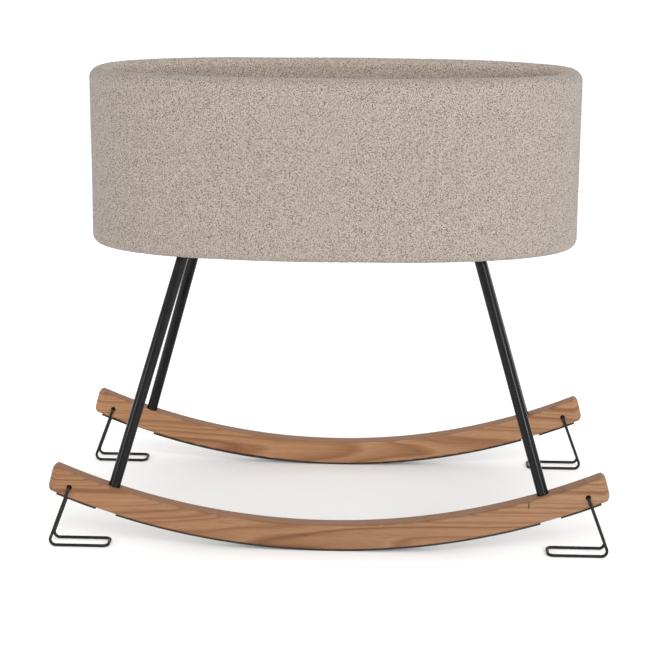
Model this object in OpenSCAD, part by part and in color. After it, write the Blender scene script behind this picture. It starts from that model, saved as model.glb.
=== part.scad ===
// Rocking bassinet: a padded oval basket on four splayed tube legs and two wooden rockers.
// Millimetres. The origin is on the floor under the centre of the basket.
// +X runs along the rockers, +Y to the rear and +Z up.

/* [Basket] */
// Half length of the oval basket
basket_a = 415; // [380:1:440]
// Half width of the oval basket
basket_b = 200; // [180:1:215]
// Exponent of the oval: 2 is an ellipse, and a larger number has squarer ends
basket_n = 2.5; // [2:0.1:3]
// Height of the basket's underside above the floor
basket_z = 477; // [460:1:500]
// Height of the basket's wall
basket_h = 298; // [240:1:320]
// Thickness of the plywood wall
wall_t = 8; // [5:1:10]
// Thickness of the fabric cover
fabric_t = 3; // [2:0.5:4]
// Thickness of the padding on each side of the wall
pad_t = 8; // [6:1:10]
// Radius of the cover's outer edge along the bottom
bottom_r = 15; // [12:1:18]
// Thickness of the plywood base board
board_t = 12; // [9:1:15]

/* [Mattress] */
// Thickness of the mattress in its cover
mattress_t = 50; // [40:1:60]
// Gap between the mattress and the lining all round
mattress_gap = 4; // [2:1:8]
// Thickness of the mattress cover
sheet_t = 2.5; // [1:0.5:4]

/* [Rockers] */
// Radius of the curve that rolls on the floor
rock_r = 1170; // [1000:5:1400]
// Distance between the two rockers' centre planes
rocker_gap = 440; // [420:1:460]
// Width of a rocker
rocker_w = 30; // [26:1:36]
// Depth of a rocker's wood
rocker_h = 42; // [38:0.5:50]
// Half length of a rocker at its top corner
rocker_half = 452; // [440:1:470]
// Lean of a rocker's end face from the vertical
end_tilt = 15; // [8:1:18]
// Radius of the rockers' long edges
edge_r = 3.5; // [2:0.5:5]
// Thickness of the anti-slip strips
strip_t = 2.5; // [1:0.5:3]
// Width of the anti-slip strips
strip_w = 27; // [20:1:28]

/* [Legs] */
// Diameter of the leg tube
tube_d = 19; // [16:1:20]
// Wall of the leg tube
tube_wall = 1.5; // [1:0.5:2]
// Distance of a leg's foot from the centre, along the rockers
foot_x = 353; // [340:1:360]
// Distance of a leg's foot from the centre, across the rockers
foot_y = 217; // [216:0.5:218]
// Distance of a leg's head from the centre, along the rockers
head_x = 244; // [235:1:250]
// Distance of a leg's head from the centre, across the rockers
head_y = 140; // [135:1:142]

/* [Wire feet] */
// Diameter of the bent wire
wire_d = 5; // [4:0.5:6]
// Diameter of the hole that a wire foot swings in
wire_hole_d = 9; // [7:0.5:10]
// Distance of that hole from the centre
hole_x = 425.5; // [420:0.5:428]
// Length of a wire foot's leg, from its hole to its knee
wire_leg = 106.25; // [105:0.25:108]
// How far the loop of a wire foot reaches inside its hole
loop_in = 62; // [50:1:70]
// Bend radius of the wire at its knees and loop
bend_r = 9; // [7:0.5:10]

/* [Hidden] */

clearance = 0.3;
big = 1000;
basket_top = basket_z + basket_h;
oval_steps = 72;
arc_steps = 4;

// Insets from the basket's outer face to each layer of its wall
pad_in = fabric_t;
wall_in = pad_in + pad_t;
inner_in = wall_in + wall_t;
splice_t = 1.5;
splice_gap = 0.4;
inner_pad_in = inner_in + splice_gap + splice_t + splice_gap;
lining_in = inner_pad_in + pad_t;
wall_total = lining_in + fabric_t;
rim_r = wall_total / 2;
rim_z = basket_top - rim_r;
rim_wrap = 22;
lip_in = 20;
board_z = basket_z + fabric_t;
panel_z = board_z + 1.5;
floor_z = board_z + board_t;
floor_lining_t = 1.5;
mattress_z = floor_z + floor_lining_t + clearance;
mattress_in = wall_total + mattress_gap;
sheet_hem = 50;

// Colours
boucle = [0.77, 0.71, 0.64];
cotton = [0.93, 0.92, 0.89];
foam = [0.95, 0.93, 0.84];
birch = [0.84, 0.74, 0.58];
ash = [0.69, 0.48, 0.31];
black = [0.09, 0.09, 0.09];
zinc = [0.72, 0.72, 0.73];
grip = [0.16, 0.13, 0.11];

// Fastener sizes
bolt_d = 6;
bolt_hole_d = 6.6;
bolt_head_d = 10;
bolt_head_h = 6;
washer_d = 12.5;
washer_t = 1.6;
screw_d = 4;
screw_head_d = 8;
screw_head_h = 2.4;
screw_l = 32;

// Splice strips on the inside of the wall
splice_w = 56;
splice_z = floor_z + 6;
splice_h = rim_z - splice_z - 10;
rivet_rows = 5;

// Leg plates under the base board
plate_x = 46;
plate_y = 62;
plate_r = 12;
plate_t = 4;
plate_z = board_z - plate_t;
plate_cx = head_x;
plate_cy = head_y - 20;
plate_hole_x = 16;
plate_hole_in = -20;
plate_hole_out = 5;
plate_head_h = 3;
tee_barrel_d = 8;
tee_flange_d = 16;
tee_flange_t = 1.2;

// Sockets and bolts of the legs in the rockers
socket_d = tube_d + 2;
socket_depth = 16;
bore_head_d = 14;
bore_head_depth = 12;
plug_l = 30;
foot_z = arc_height(rock_r - strip_t - rocker_h, foot_x);
leg_dx = head_x - foot_x;
leg_dy = head_y - foot_y;
leg_dz = basket_z - foot_z;
leg_length = norm([leg_dx, leg_dy, leg_dz]);
leg_tilt = acos(leg_dz / leg_length);
leg_turn = atan2(leg_dy, leg_dx);
bore_roof = bore_head_depth - rocker_h;
tube_end = 1 - socket_depth;

// Anti-slip strips, as distances along the rocker from its centre
strip_long_end = 350;
strip_short_from = 383;
strip_short_to = 448;

// Rocker ends
corner_top_r = 8;
corner_bottom_r = 12;
corner_side_r = 14;
crossing = 0.15;
inner_r = rock_r - strip_t - rocker_h;
outer_r = rock_r - strip_t;
corner_z = arc_height(inner_r, rocker_half);
top_slope = asin(rocker_half / inner_r) - end_tilt;
end_face = rocker_h / cos(top_slope) - 0.1;
sweep_half = asin(rocker_half / inner_r) + 1.5;

// Wire feet
wire_y = rocker_w / 2 + wire_d / 2 + 0.5;
wire_in_y = 3;
side_bend_r = 4.5;
rail_z = wire_d / 2;
leg_lean = atan(44 / 117);
knee_tangent = bend_r * tan(45 + leg_lean / 2);
knee_out = wire_leg * sin(leg_lean);
hole_z = rail_z + wire_leg * cos(leg_lean);

function arc_height(r, x) = rock_r - sqrt(r * r - x * x);
function rest_of(v) = pow(1 - pow(abs(v), basket_n), 1 / basket_n);
function oval_y(inset, x) = (basket_b - inset) * rest_of(x / (basket_a - inset));
function oval_x(inset, y) = (basket_a - inset) * rest_of(y / (basket_b - inset));
function signed_pow(v, e) = sign(v) * pow(abs(v), e);
function oval_point(inset, t) = [
    (basket_a - inset) * signed_pow(cos(t), 2 / basket_n),
    (basket_b - inset) * signed_pow(sin(t), 2 / basket_n)
];
function oval(inset) = [for (i = [0 : oval_steps - 1]) oval_point(inset, 360 * i / oval_steps)];
function bend(centre, r, from, to) = [
    for (i = [0 : arc_steps])
        let (t = from + (to - from) * i / arc_steps)
            [centre[0] + r * cos(t), centre[1] + r * sin(t)]
];

// A closed section of [inset, height] points, carried once round the oval
module oval_sweep(section) {
    m = len(section);
    points = [
        for (i = [0 : oval_steps - 1], p = section)
            concat(oval_point(p[0], 360 * i / oval_steps), [p[1]])
    ];
    faces = [
        for (i = [0 : oval_steps - 1], j = [0 : m - 1])
            let (k = (i + 1) % oval_steps, l = (j + 1) % m)
                each [
                    [i * m + j, i * m + l, k * m + l],
                    [i * m + j, k * m + l, k * m + j]
                ]
    ];
    polyhedron(points, faces, convexity = 10);
}

module oval_slab(inset, z, h) {
    translate([0, 0, z]) linear_extrude(h) polygon(oval(inset));
}

// Repeats its children at the four corners of the stand
module at_corners() {
    for (mx = [0, 1], my = [0, 1])
        mirror([mx, 0, 0]) mirror([0, my, 0]) children();
}

// Puts a child that is drawn for the rear right corner at another corner
module at_corner(side, end) {
    mirror([side < 0 ? 1 : 0, 0, 0]) mirror([0, end < 0 ? 1 : 0, 0]) children();
}

// Z runs up the leg's centre line from the rocker's top face
module along_leg() {
    translate([foot_x, foot_y, foot_z]) rotate([0, leg_tilt, leg_turn]) children();
}

module round_rod(d, h) {
    cylinder(d = d, h = h, $fn = 48);
}

// ---- Basket ----

module outer_cover() {
    outside = concat(
        [[lip_in, basket_z]],
        bend([bottom_r, basket_z + bottom_r], bottom_r, 270, 180),
        bend([rim_r, rim_z], rim_r, 180, 0),
        [[wall_total, rim_z - rim_wrap]]
    );
    inside = concat(
        [[wall_total - fabric_t, rim_z - rim_wrap]],
        bend([rim_r, rim_z], rim_r - fabric_t, 0, 180),
        bend([bottom_r, basket_z + bottom_r], bottom_r - fabric_t, 180, 270),
        [[lip_in, basket_z + fabric_t]]
    );
    color(boucle) oval_sweep(concat(outside, inside));
}

module inner_lining() {
    top = rim_z - rim_wrap - clearance;
    color(boucle) oval_sweep([
        [lining_in, floor_z], [lining_in, top], [wall_total, top], [wall_total, floor_z]
    ]);
}

module rim_padding() {
    color(foam) oval_sweep(bend([rim_r, rim_z], rim_r - fabric_t - clearance, 180, 0));
}

module outer_padding() {
    color(foam) oval_sweep([
        [pad_in, basket_z + bottom_r], [pad_in, rim_z], [wall_in, rim_z], [wall_in, panel_z + 2]
    ]);
}

module inner_padding() {
    color(foam) oval_sweep([
        [inner_pad_in, floor_z], [inner_pad_in, rim_z], [lining_in, rim_z], [lining_in, floor_z]
    ]);
}

module wall_ring() {
    difference() {
        oval_slab(wall_in, panel_z, rim_z - panel_z);
        oval_slab(inner_in, panel_z - 1, rim_z - panel_z + 2);
        base_screw_set(screw_d + 0.2, screw_head_d + 0.2);
        rivet_set(screw_d + 0.2, screw_head_d + 0.2);
    }
}

// One bent half of the wall; the halves meet at the middle of the front and the rear
module wall_half(side) {
    intersection() {
        wall_ring();
        translate([side > 0 ? 0.1 : -big - 0.1, -big / 2, 0]) cube([big, big, big]);
    }
}

module wall_panel_left() {
    color(birch) wall_half(-1);
}

module wall_panel_right() {
    color(birch) wall_half(1);
}

module splice_strip(end) {
    y = basket_b - inner_in - splice_gap - splice_t;
    mirror([0, end < 0 ? 1 : 0, 0])
        difference() {
            translate([-splice_w / 2, y, splice_z]) cube([splice_w, splice_t, splice_h]);
            rivet_set(screw_d + 0.2, screw_head_d);
        }
}

module splice_strip_front() {
    color(zinc) splice_strip(-1);
}

module splice_strip_rear() {
    color(zinc) splice_strip(1);
}

// Flush rivets through the wall and the splice strips
module rivet_set(d, head_d) {
    length = wall_t + splice_gap + splice_t - clearance;
    for (my = [0, 1], x = [-1, 1], row = [0 : rivet_rows - 1])
        mirror([0, my, 0])
            translate([x * splice_w / 4, basket_b - wall_in - clearance,
                       splice_z + splice_h * (row + 0.5) / rivet_rows])
                rotate([90, 0, 0]) {
                    round_rod(d, length);
                    round_rod(head_d, screw_head_h);
                }
}

module splice_rivets() {
    color(zinc) rivet_set(screw_d, screw_head_d);
}

// Screws through the wall into the edge of the base board
module base_screw_set(d, head_d) {
    z = board_z + board_t / 2;
    for (my = [0, 1], x = [-220, -110, 110, 220])
        mirror([0, my, 0])
            translate([x, oval_y(wall_in, x) - 2, z]) rotate([90, 0, 0]) flush_screw(d, head_d);
    for (mx = [0, 1], y = [-60, 60])
        mirror([mx, 0, 0])
            translate([oval_x(wall_in, y) - 2, y, z]) rotate([0, -90, 0]) flush_screw(d, head_d);
}

module flush_screw(d, head_d) {
    round_rod(d, screw_l);
    translate([0, 0, -4]) round_rod(head_d, screw_head_h + 4);
}

module base_screws() {
    color(zinc)
        intersection() {
            base_screw_set(screw_d, screw_head_d);
            oval_slab(wall_in + 0.2, board_z, board_t);
        }
}

module base_board() {
    vent_d = 25;
    color(birch)
        difference() {
            oval_slab(inner_in, board_z, board_t);
            for (x = [-3 : 3], y = [-1 : 1])
                translate([x * 58, y * 62, board_z - 1]) round_rod(vent_d, board_t + 2);
            at_plate_holes() translate([0, 0, board_z - 1]) round_rod(tee_barrel_d, board_t + 2);
            base_screw_set(screw_d, screw_d);
        }
}

module floor_lining() {
    color(cotton)
        difference() {
            oval_slab(wall_total + clearance, floor_z, floor_lining_t);
            at_plate_holes()
                translate([0, 0, floor_z - 1]) round_rod(tee_flange_d + clearance, tee_flange_t + 1.1);
        }
}

module dust_cover() {
    color(cotton)
        difference() {
            oval_slab(lip_in + clearance, basket_z, fabric_t / 2);
            at_corners()
                translate([plate_cx, plate_cy, basket_z - 1]) linear_extrude(fabric_t) plate_outline(0.5);
        }
}

// ---- Leg plates and their fasteners ----

module at_plate_holes() {
    at_corners()
        for (x = [-plate_hole_x, plate_hole_x], y = [plate_hole_in, plate_hole_out])
            translate([plate_cx + x, plate_cy + y, 0]) children();
}

// A rectangle with round corners, grown by that much all round
module plate_outline(grow) {
    x = plate_x + 2 * grow;
    y = plate_y + 2 * grow;
    r = plate_r + grow;
    square([x - 2 * r, y], center = true);
    square([x, y - 2 * r], center = true);
    for (mx = [-1, 1], my = [-1, 1])
        translate([mx * (x / 2 - r), my * (y / 2 - r)]) circle(r = r, $fn = 48);
}

module leg_plate(side, end) {
    color(black)
        difference() {
            at_corner(side, end)
                translate([plate_cx, plate_cy, plate_z]) linear_extrude(plate_t) plate_outline(0);
            at_plate_holes() translate([0, 0, plate_z - 1]) round_rod(bolt_hole_d, plate_t + 2);
        }
}

module leg_plate_front_left() { leg_plate(-1, -1); }
module leg_plate_front_right() { leg_plate(1, -1); }
module leg_plate_rear_left() { leg_plate(-1, 1); }
module leg_plate_rear_right() { leg_plate(1, 1); }

module plate_bolts() {
    head_z = plate_z - plate_head_h;
    color(zinc)
        at_plate_holes() {
            translate([0, 0, head_z]) round_rod(bolt_d, floor_z - head_z);
            translate([0, 0, head_z]) round_rod(bolt_head_d, plate_head_h);
        }
}

module tee_nuts() {
    color(zinc)
        at_plate_holes()
            difference() {
                union() {
                    translate([0, 0, board_z + 1]) round_rod(tee_barrel_d, board_t - 1);
                    translate([0, 0, floor_z]) round_rod(tee_flange_d, tee_flange_t);
                }
                translate([0, 0, board_z]) round_rod(bolt_d, board_t + tee_flange_t + 1);
            }
}

// ---- Legs ----

// A tube with its weld seam on its side, cut off level under its plate
module leg_tube(side, end) {
    color(black)
        at_corner(side, end)
            difference() {
                along_leg()
                    rotate([0, 0, 90])
                        rotate_extrude($fn = 48)
                            translate([tube_d / 2 - tube_wall, tube_end])
                                square([tube_wall, leg_length + 40]);
                translate([0, 0, plate_z]) cube([big, big, 100]);
            }
}

module leg_tube_front_left() { leg_tube(-1, -1); }
module leg_tube_front_right() { leg_tube(1, -1); }
module leg_tube_rear_left() { leg_tube(-1, 1); }
module leg_tube_rear_right() { leg_tube(1, 1); }

module threaded_plugs() {
    color(zinc)
        at_corners()
            along_leg()
                translate([0, 0, tube_end])
                    difference() {
                        round_rod(tube_d - 2 * tube_wall, plug_l);
                        translate([0, 0, -1]) round_rod(bolt_d, plug_l + 2);
                    }
}

module rocker_bolts() {
    head_z = bore_roof - washer_t - bolt_head_h;
    color(zinc)
        at_corners()
            along_leg() {
                translate([0, 0, head_z])
                    difference() {
                        round_rod(bolt_head_d, bolt_head_h);
                        translate([0, 0, -1]) cylinder(d = 5.8, h = 4, $fn = 6);
                    }
                translate([0, 0, head_z + bolt_head_h]) round_rod(bolt_d, plug_l + 6);
            }
}

module rocker_washers() {
    color(zinc)
        at_corners()
            along_leg()
                translate([0, 0, bore_roof - washer_t])
                    difference() {
                        round_rod(washer_d, washer_t);
                        translate([0, 0, -1]) round_rod(bolt_hole_d, washer_t + 2);
                    }
}

// ---- Rockers ----

// A section of [distance from the rolling centre, across], carried round the rolling centre
module rocker_sweep(from, to) {
    translate([0, 0, rock_r])
        rotate([90, 0, 0])
            rotate([0, 0, 270 + from])
                rotate_extrude(angle = to - from, $fn = 360) children();
}

module rocker_section() {
    union() {
        translate([inner_r, edge_r - rocker_w / 2]) square([rocker_h, rocker_w - 2 * edge_r]);
        translate([inner_r + edge_r, -rocker_w / 2]) square([rocker_h - 2 * edge_r, rocker_w]);
        for (x = [inner_r + edge_r, outer_r - edge_r], y = [-1, 1])
            translate([x, y * (rocker_w / 2 - edge_r)]) circle(r = edge_r, $fn = 48);
    }
}

// What is cut off a rocker's right end to leave its face and its rounded upper and lower corners.
// The face is X = 0 here, and the top corner is at the origin.
module end_profile_cut() {
    slope = tan(top_slope);
    reach = 1 / cos(top_slope);
    c1 = [-corner_top_r, crossing - corner_top_r * (slope + reach)];
    c2 = [-corner_bottom_r, corner_bottom_r * (reach - slope) - end_face - crossing];
    t1 = c1 + corner_top_r * [-sin(top_slope), cos(top_slope)];
    t2 = c2 + corner_bottom_r * [sin(top_slope), -cos(top_slope)];
    difference() {
        translate([-60, -end_face - 19]) square([120, end_face + 38]);
        polygon([
            [t1[0], 20], t1, c1, [0, c1[1]], [0, c2[1]], c2, t2,
            [t2[0], -end_face - 20], [-80, -end_face - 20], [-80, 20]
        ]);
        translate(c1) circle(r = corner_top_r, $fn = 64);
        translate(c2) circle(r = corner_bottom_r, $fn = 64);
    }
}

// What is cut off to round the upright edges of the right end
module end_side_cut() {
    y = rocker_w / 2 - corner_side_r + crossing;
    difference() {
        translate([-20, -rocker_w]) square([40, 2 * rocker_w]);
        translate([-30, -y]) square([30, 2 * y]);
        translate([-30, -rocker_w - 1]) square([30 - corner_side_r, 2 * rocker_w + 2]);
        for (s = [-1, 1])
            translate([-corner_side_r, s * y]) circle(r = corner_side_r, $fn = 48);
    }
}

module rocker_end_cuts() {
    for (mx = [0, 1])
        mirror([mx, 0, 0])
            translate([rocker_half, 0, corner_z])
                rotate([0, -end_tilt, 0]) {
                    translate([0, rocker_w, 0])
                        rotate([90, 0, 0]) linear_extrude(2 * rocker_w) end_profile_cut();
                    translate([0, 0, -end_face - 20]) linear_extrude(end_face + 40) end_side_cut();
                }
}

module leg_holes() {
    along_leg() {
        translate([0, 0, -socket_depth]) round_rod(socket_d, socket_depth + 20);
        translate([0, 0, -rocker_h - 20]) round_rod(bolt_hole_d, rocker_h + 20);
        translate([0, 0, -rocker_h - 20]) round_rod(bore_head_d, bore_head_depth + 20);
    }
}

// The rear rocker; the front one is its mirror image
module rocker() {
    y = rocker_gap / 2;
    difference() {
        translate([0, y, 0])
            difference() {
                rocker_sweep(-sweep_half, sweep_half) rocker_section();
                rocker_end_cuts();
            }
        for (mx = [0, 1])
            mirror([mx, 0, 0]) {
                leg_holes();
                translate([hole_x, y + rocker_w, hole_z])
                    rotate([90, 0, 0]) round_rod(wire_hole_d, 2 * rocker_w);
            }
    }
}

module rocker_front() {
    color(ash) mirror([0, 1, 0]) rocker();
}

module rocker_rear() {
    color(ash) rocker();
}

module grip_strip(end, from, to) {
    color(grip)
        translate([0, end * rocker_gap / 2, 0])
            rocker_sweep(asin(from / rock_r), asin(to / rock_r))
                translate([outer_r, -strip_w / 2]) square([strip_t, strip_w]);
}

module grip_strip_front_middle() { grip_strip(-1, -strip_long_end, strip_long_end); }
module grip_strip_front_left() { grip_strip(-1, -strip_short_to, -strip_short_from); }
module grip_strip_front_right() { grip_strip(-1, strip_short_from, strip_short_to); }
module grip_strip_rear_middle() { grip_strip(1, -strip_long_end, strip_long_end); }
module grip_strip_rear_left() { grip_strip(1, -strip_short_to, -strip_short_from); }
module grip_strip_rear_right() { grip_strip(1, strip_short_from, strip_short_to); }

// ---- Wire feet ----

module wire(length) {
    cylinder(d = wire_d, h = length, $fn = 48);
}

// A bend of the wire from +X round to the given angle, about the origin
module wire_bend(r, angle) {
    rotate_extrude(angle = angle, $fn = 96) translate([r, 0]) circle(d = wire_d, $fn = 48);
}

// One side of a wire foot, from its end in the rocker to its loop's corner.
// The origin is the middle of the hole.
module wire_side() {
    translate([0, wire_in_y, 0]) rotate([-90, 0, 0]) wire(wire_y - side_bend_r - wire_in_y);
    rotate([0, -leg_lean, 0]) {
        translate([0, wire_y - side_bend_r, -side_bend_r])
            rotate([0, 90, 0]) rotate([0, 0, 90]) wire_bend(side_bend_r, 90);
        translate([0, wire_y, knee_tangent - wire_leg])
            wire(wire_leg - knee_tangent - side_bend_r);
        translate([-bend_r, wire_y, knee_tangent - wire_leg])
            rotate([90, 0, 0]) rotate([0, 0, -90 - leg_lean]) wire_bend(bend_r, 90 + leg_lean);
    }
    translate([knee_out - knee_tangent, wire_y, rail_z - hole_z])
        rotate([0, -90, 0]) wire(knee_out - knee_tangent + loop_in - bend_r);
    translate([bend_r - loop_in, wire_y - bend_r, rail_z - hole_z])
        rotate([0, 0, 90]) wire_bend(bend_r, 90);
}

module wire_foot(side, end) {
    color(black)
        at_corner(side, end)
            translate([hole_x, rocker_gap / 2, hole_z]) {
                wire_side();
                mirror([0, 1, 0]) wire_side();
                translate([-loop_in, bend_r - wire_y, rail_z - hole_z])
                    rotate([-90, 0, 0]) wire(2 * (wire_y - bend_r));
            }
}

module wire_foot_front_left() { wire_foot(-1, -1); }
module wire_foot_front_right() { wire_foot(1, -1); }
module wire_foot_rear_left() { wire_foot(-1, 1); }
module wire_foot_rear_right() { wire_foot(1, 1); }

// ---- Mattress ----

module mattress_block() {
    oval_slab(mattress_in + sheet_t, mattress_z + sheet_t, mattress_t - 2 * sheet_t);
}

module mattress_core() {
    color(foam) mattress_block();
}

// A fitted sheet, open underneath
module mattress_cover() {
    color(cotton)
        difference() {
            oval_slab(mattress_in, mattress_z, mattress_t);
            mattress_block();
            oval_slab(mattress_in + sheet_hem, mattress_z - 1, sheet_t + 2);
        }
}

outer_cover();
inner_lining();
rim_padding();
outer_padding();
inner_padding();
wall_panel_left();
wall_panel_right();
splice_strip_front();
splice_strip_rear();
splice_rivets();
base_board();
base_screws();
floor_lining();
dust_cover();
leg_plate_front_left();
leg_plate_front_right();
leg_plate_rear_left();
leg_plate_rear_right();
plate_bolts();
tee_nuts();
leg_tube_front_left();
leg_tube_front_right();
leg_tube_rear_left();
leg_tube_rear_right();
threaded_plugs();
rocker_bolts();
rocker_washers();
rocker_front();
rocker_rear();
grip_strip_front_middle();
grip_strip_front_left();
grip_strip_front_right();
grip_strip_rear_middle();
grip_strip_rear_left();
grip_strip_rear_right();
wire_foot_front_left();
wire_foot_front_right();
wire_foot_rear_left();
wire_foot_rear_right();
mattress_core();
mattress_cover();
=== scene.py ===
"""Looks of the rocking bassinet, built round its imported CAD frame.

Metres. The origin is on the floor under the basket's centre, +X runs along the rockers,
+Y to the rear and +Z up. Soft pieces are made here and stand for the plain CAD solids;
the rigid CAD nodes stay and get their materials here.
"""
import math

import bmesh
import bpy
import numpy as np
from mathutils import Matrix, Vector


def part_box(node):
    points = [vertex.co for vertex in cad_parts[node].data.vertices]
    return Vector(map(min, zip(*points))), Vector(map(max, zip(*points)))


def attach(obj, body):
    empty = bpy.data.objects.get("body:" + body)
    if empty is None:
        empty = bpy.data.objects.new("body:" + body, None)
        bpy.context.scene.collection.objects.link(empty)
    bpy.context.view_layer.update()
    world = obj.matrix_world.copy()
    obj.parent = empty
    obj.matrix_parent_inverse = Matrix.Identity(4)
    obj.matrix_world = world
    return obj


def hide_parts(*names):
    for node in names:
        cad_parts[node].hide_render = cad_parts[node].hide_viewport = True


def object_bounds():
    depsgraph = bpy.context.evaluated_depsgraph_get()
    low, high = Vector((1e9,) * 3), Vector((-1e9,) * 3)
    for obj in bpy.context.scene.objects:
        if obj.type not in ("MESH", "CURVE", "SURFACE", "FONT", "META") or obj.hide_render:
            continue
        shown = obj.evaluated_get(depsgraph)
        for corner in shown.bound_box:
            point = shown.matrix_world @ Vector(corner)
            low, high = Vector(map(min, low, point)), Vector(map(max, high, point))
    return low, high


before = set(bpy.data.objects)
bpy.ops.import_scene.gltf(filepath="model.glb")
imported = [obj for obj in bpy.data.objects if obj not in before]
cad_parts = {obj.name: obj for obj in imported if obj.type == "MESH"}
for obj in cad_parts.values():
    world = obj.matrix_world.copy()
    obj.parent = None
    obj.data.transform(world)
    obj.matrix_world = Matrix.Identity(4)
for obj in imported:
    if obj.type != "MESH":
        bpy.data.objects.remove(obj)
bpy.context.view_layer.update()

BODY = "cradle"
MATTRESS_BODY = "mattress"
CORNERS = ("front_left", "front_right", "rear_left", "rear_right")

OVAL_EXPONENT = 2.5
RIM_WRAP = 0.022  # how far the cover reaches down inside, below the rim's centre
BOTTOM_RADIUS = 0.015
COVER_GRID = 0.0022  # spacing of the boucle's points
LINING_GRID = 0.003
PILE = 0.0012  # height of the boucle's loops
LOOP_PITCH = 0.0040
COVER_DEPTH = 0.8  # where the cover's hidden side lies, as a share of the fabric
LINING_DEPTH = 0.9
SEAM_TUCK = 0.0010  # how far the cover and the lining turn in at their seam

BOLT_X = (-0.016, 0.016)  # places of a leg plate's bolts from its middle, along x
BOLT_Y = (-0.020, 0.005)  # and outward from it, along y
BOLT_BUMP = 0.0007  # how far a bolt raises the cloth over it

QUILT = 0.062  # width of the diamonds sewn in the mattress
QUILT_SLANT = 1.25
CHANNEL_WIDTH = 0.0032
CHANNEL_DEPTH = 0.0024
PUFF = 0.0022  # height of a diamond's middle
PIPING_RADIUS = 0.0017
PIPING_TWIST = 0.012  # length of one turn of its strands
CLOTH_STEPS = 20


# ---- The basket's sizes, read from the frame ----

cover_low, cover_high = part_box("outer_cover")
lining_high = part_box("inner_lining")[1]
foam_low, foam_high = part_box("outer_padding")
inner_foam_low, inner_foam_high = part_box("inner_padding")
board_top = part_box("base_board")[1].z

HALF_LENGTH = cover_high.x
HALF_WIDTH = cover_high.y
FABRIC = cover_high.x - foam_high.x
WALL = cover_high.x - lining_high.x + FABRIC
RIM_RADIUS = WALL / 2
RIM_Z = cover_high.z - RIM_RADIUS
SEAM_Z = RIM_Z - RIM_WRAP
LIP = HALF_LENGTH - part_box("dust_cover")[1].x


def oval(inset, angles):
    """Points of the basket's oval, inset by that much; a row of x and y for each angle."""
    c, s = np.cos(angles), np.sin(angles)
    power = 2 / OVAL_EXPONENT
    x = (HALF_LENGTH - inset) * np.sign(c) * np.abs(c) ** power
    y = (HALF_WIDTH - inset) * np.sign(s) * np.abs(s) ** power
    return np.stack([x, y], axis=-1)


def even_angles(inset, step):
    """Angles whose points are about one step apart along the oval, and its length."""
    fine = np.linspace(0, 2 * math.pi, 14401)
    points = oval(inset, fine)
    along = np.r_[0, np.cumsum(np.linalg.norm(np.diff(points, axis=0), axis=1))]
    count = int(round(along[-1] / step))
    return np.interp(np.arange(count) * along[-1] / count, along, fine), along[-1]


def arc(inset, z, radius, start, end, count=24):
    """Section points [inset, z] round an arc; angles in degrees, 0 towards the inside."""
    t = np.radians(np.linspace(start, end, count))
    return [(inset + radius * math.cos(a), z + radius * math.sin(a)) for a in t]


def even_section(points, step):
    """Section points resampled about one step apart."""
    points = np.array(points)
    along = np.r_[0, np.cumsum(np.linalg.norm(np.diff(points, axis=0), axis=1))]
    count = max(2, int(round(along[-1] / step)) + 1)
    at = np.linspace(0, along[-1], count)
    return np.stack([np.interp(at, along, points[:, k]) for k in (0, 1)], axis=-1)


# ---- Meshes ----


def quad_mesh(name, points, quads):
    """A smooth mesh object of quads."""
    mesh = bpy.data.meshes.new(name)
    mesh.vertices.add(len(points))
    mesh.vertices.foreach_set("co", np.asarray(points, np.float32).ravel())
    mesh.loops.add(quads.size)
    mesh.loops.foreach_set("vertex_index", quads.astype(np.int32).ravel())
    mesh.polygons.add(len(quads))
    mesh.polygons.foreach_set("loop_start", np.arange(0, quads.size, 4, dtype=np.int32))
    mesh.update(calc_edges=True)
    mesh.validate()
    mesh.shade_smooth()
    made = bpy.data.objects.new(name, mesh)
    bpy.context.scene.collection.objects.link(made)
    return made


def sweep_quads(rows, columns, closed_section):
    """Quads of a section of that many rows, carried round a closed outline."""
    row_count = rows if closed_section else rows - 1
    r, c = np.meshgrid(np.arange(row_count), np.arange(columns), indexing="ij")
    r2, c2 = (r + 1) % rows, (c + 1) % columns
    corners = [r * columns + c, r * columns + c2, r2 * columns + c2, r2 * columns + c]
    return np.stack(corners, axis=-1).reshape(-1, 4)


def swept(name, section, angles, closed_section=True):
    """A section of [inset, z] points carried round the basket's oval."""
    section = np.asarray(section)
    rings = [np.c_[oval(inset, angles), np.full(len(angles), z)] for inset, z in section]
    quads = sweep_quads(len(section), len(angles), closed_section)
    return quad_mesh(name, np.concatenate(rings), quads)


def ringed(name, rings):
    """A closed piece through rings of equal count, from below to above; its ends are filled."""
    piece = quad_mesh(name, np.concatenate(rings), sweep_quads(len(rings), len(rings[0]), False))
    shell = bmesh.new()
    shell.from_mesh(piece.data)
    bmesh.ops.holes_fill(shell, edges=[e for e in shell.edges if e.is_boundary], sides=0)
    shell.to_mesh(piece.data)
    shell.free()
    piece.data.shade_smooth()
    return piece


def coordinates(mesh):
    found = np.empty(len(mesh.vertices) * 3, np.float32)
    mesh.vertices.foreach_get("co", found)
    return found.reshape(-1, 3).astype(float)


def normals(mesh):
    found = np.empty(len(mesh.vertices) * 3, np.float32)
    mesh.vertex_normals.foreach_get("vector", found)
    return found.reshape(-1, 3).astype(float)


def set_coordinates(mesh, points):
    mesh.vertices.foreach_set("co", np.asarray(points, np.float32).ravel())
    mesh.update()


def store(mesh, name, values):
    """Keeps one number for each point, which a material can read."""
    made = mesh.attributes.new(name, "FLOAT", "POINT")
    made.data.foreach_set("value", np.asarray(values, np.float32).ravel())


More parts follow.
